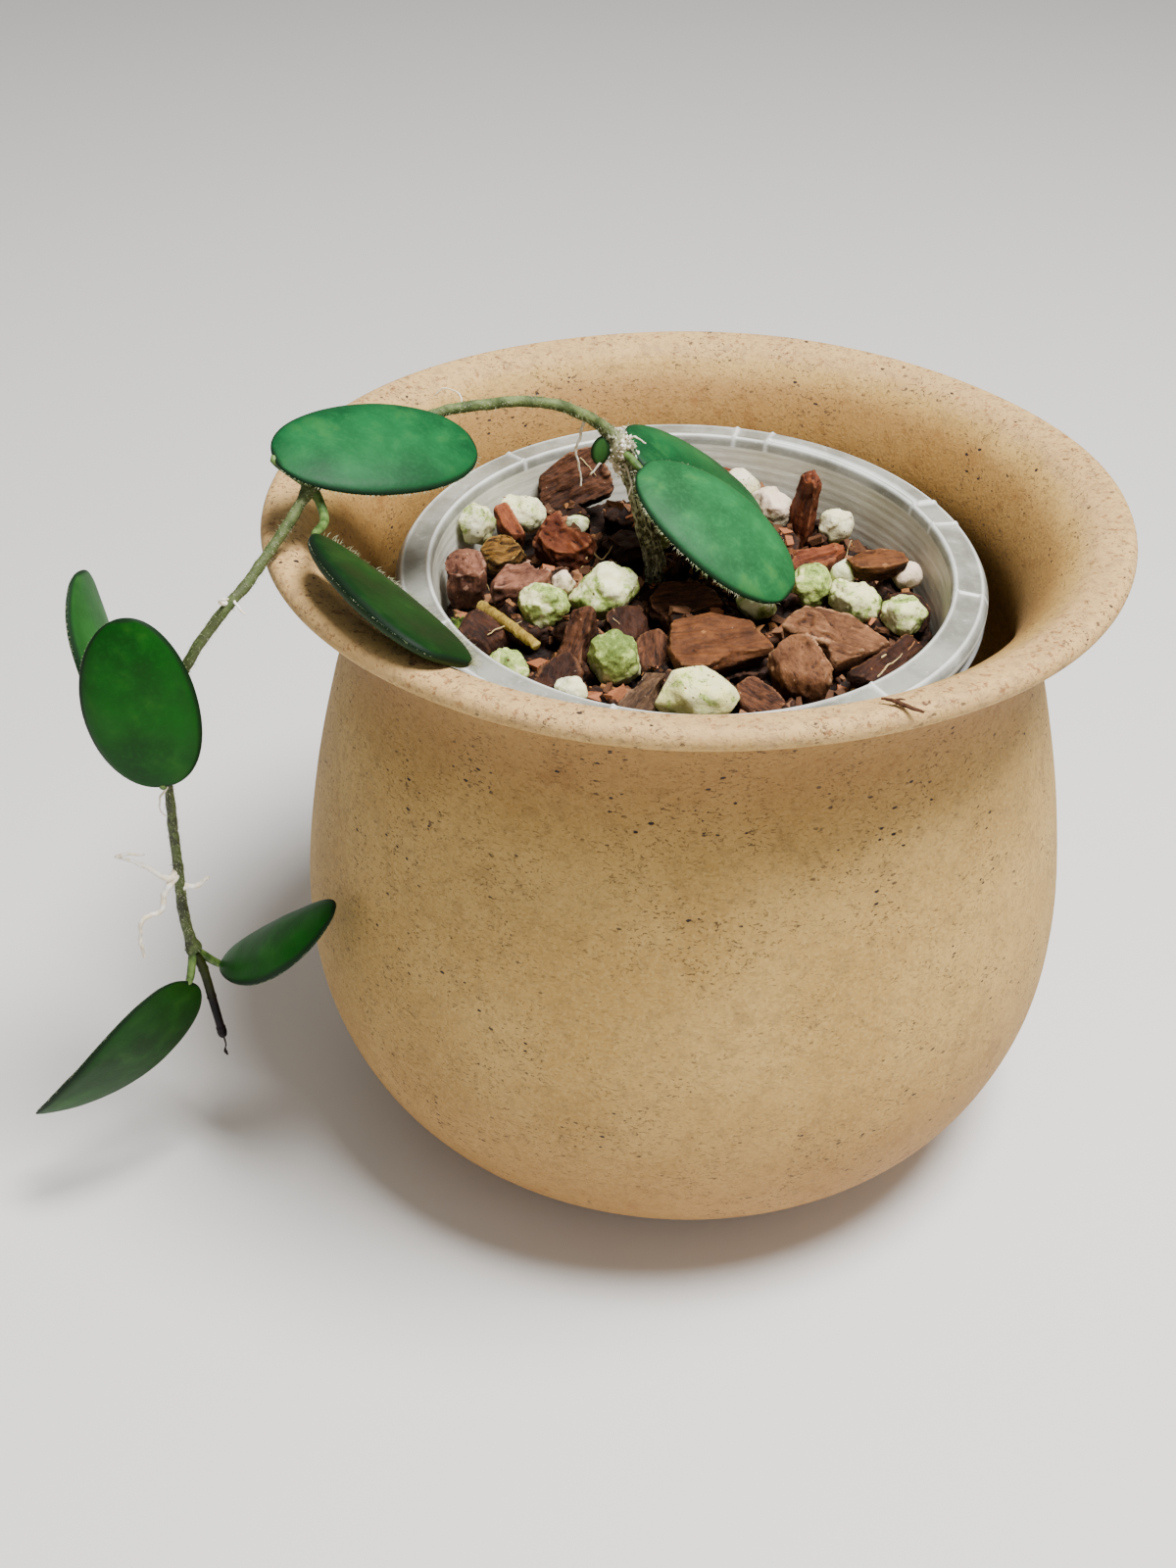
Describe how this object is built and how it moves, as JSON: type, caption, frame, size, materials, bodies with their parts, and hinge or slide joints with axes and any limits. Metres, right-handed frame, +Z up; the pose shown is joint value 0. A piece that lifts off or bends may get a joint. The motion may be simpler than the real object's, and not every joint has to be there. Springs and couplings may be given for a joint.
{
  "type": "potted hoya spectatissima",
  "caption": "Young climbing hoya in bark and pumice, in a clear nursery pot inside a round stoneware cachepot, with its hairy vine hanging over the lip.",
  "frame": {"origin": "centre of the cachepot's flat base, on the surface that it stands on", "axes": "+Z up, -Y towards the viewer of the picture, and the vine hangs over the lip towards -X"},
  "size_m": [0.2185, 0.1704, 0.1653],
  "materials": {
    "stoneware": "matt unglazed tan stoneware with fine iron specks",
    "clear_plastic": "clear, slightly grey, smooth moulded plastic",
    "fine_mix": "damp dark bark crumbs",
    "bark": "rough red-brown pine bark in layers",
    "pumice": "rough porous pale stone, partly green with algae",
    "vine": "olive green stem with fine pale hairs and cream roots",
    "young_shoot": "dark purple-brown young growth",
    "leaf": "waxy semi-gloss green with darker thick rims and fine hairs"
  },
  "bodies": {
    "root": {"cachepot": "stoneware", "nursery_pot": "clear_plastic", "stone_01": "pumice", "stone_02": "pumice", "stone_03": "pumice", "stone_04": "pumice", "stone_05": "pumice", "stone_06": "pumice", "stone_07": "pumice", "stone_08": "pumice", "stone_09": "pumice", "stone_10": "pumice", "stone_11": "pumice", "stone_12": "pumice", "stone_13": "pumice", "stone_14": "pumice", "stone_15": "pumice", "stone_16": "pumice", "stone_17": "pumice", "stone_18": "pumice", "stone_19": "pumice", "stone_20": "pumice", "bark_01": "bark", "bark_02": "bark", "bark_03": "bark", "bark_04": "bark", "bark_05": "bark", "bark_06": "bark", "bark_07": "bark", "bark_08": "bark", "bark_09": "bark", "bark_10": "bark", "bark_11": "bark", "bark_12": "bark", "bark_13": "bark", "bark_14": "bark", "bark_15": "bark", "bark_16": "bark", "bark_17": "bark", "bark_18": "bark", "bark_19": "bark", "bark_20": "bark", "bark_21": "bark", "bark_22": "bark", "bark_23": "bark", "bark_24": "bark", "twig": "bark", "bark_bed": "fine_mix", "sliver": "bark", "stem": "vine", "shoot_tip": "young_shoot", "leaf_1a": "leaf", "leaf_1b": "leaf", "leaf_2a": "leaf", "leaf_2b": "leaf", "leaf_3a": "leaf", "leaf_3b": "leaf", "leaf_4a": "leaf", "leaf_4b": "leaf", "bud_leaf": "leaf"}
  },
  "joints": []
}
